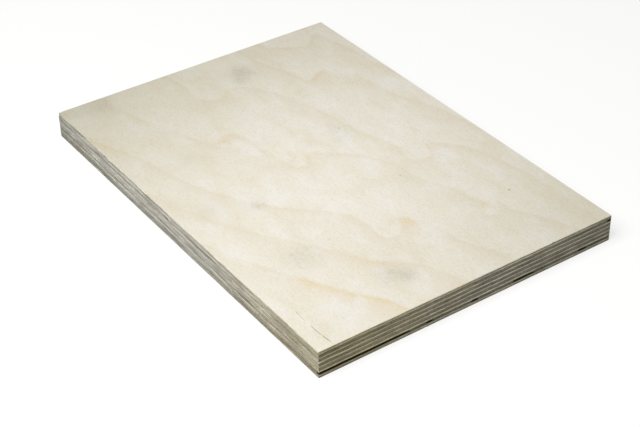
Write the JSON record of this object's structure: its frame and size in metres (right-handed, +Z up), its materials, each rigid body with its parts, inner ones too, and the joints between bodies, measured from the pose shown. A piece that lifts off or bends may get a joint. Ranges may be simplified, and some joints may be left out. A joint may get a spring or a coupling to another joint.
{
  "type": "plywood sheet",
  "caption": "Flat rectangular softwood plywood panel with sawn square edges that show its crossed plies, lying flat; building board and sheet stock.",
  "frame": {"origin": "middle of the underside of the sheet", "axes": "+X along the length and the grain of the face veneer, +Y across the width, +Z up out of the face"},
  "size_m": [0.297, 0.21, 0.018],
  "materials": {
    "outer_veneer": "sanded, unsealed",
    "crossband_veneer": "sawn edge",
    "long_veneer": "sawn edge"
  },
  "bodies": {
    "root": {"face_veneer": "outer_veneer", "crossband_1": "crossband_veneer", "long_ply_1": "long_veneer", "crossband_2": "crossband_veneer", "long_ply_2": "long_veneer", "crossband_3": "crossband_veneer", "long_ply_3": "long_veneer", "crossband_4": "crossband_veneer", "long_ply_4": "long_veneer", "crossband_5": "crossband_veneer", "long_ply_5": "long_veneer", "crossband_6": "crossband_veneer", "back_veneer": "outer_veneer"}
  },
  "joints": []
}
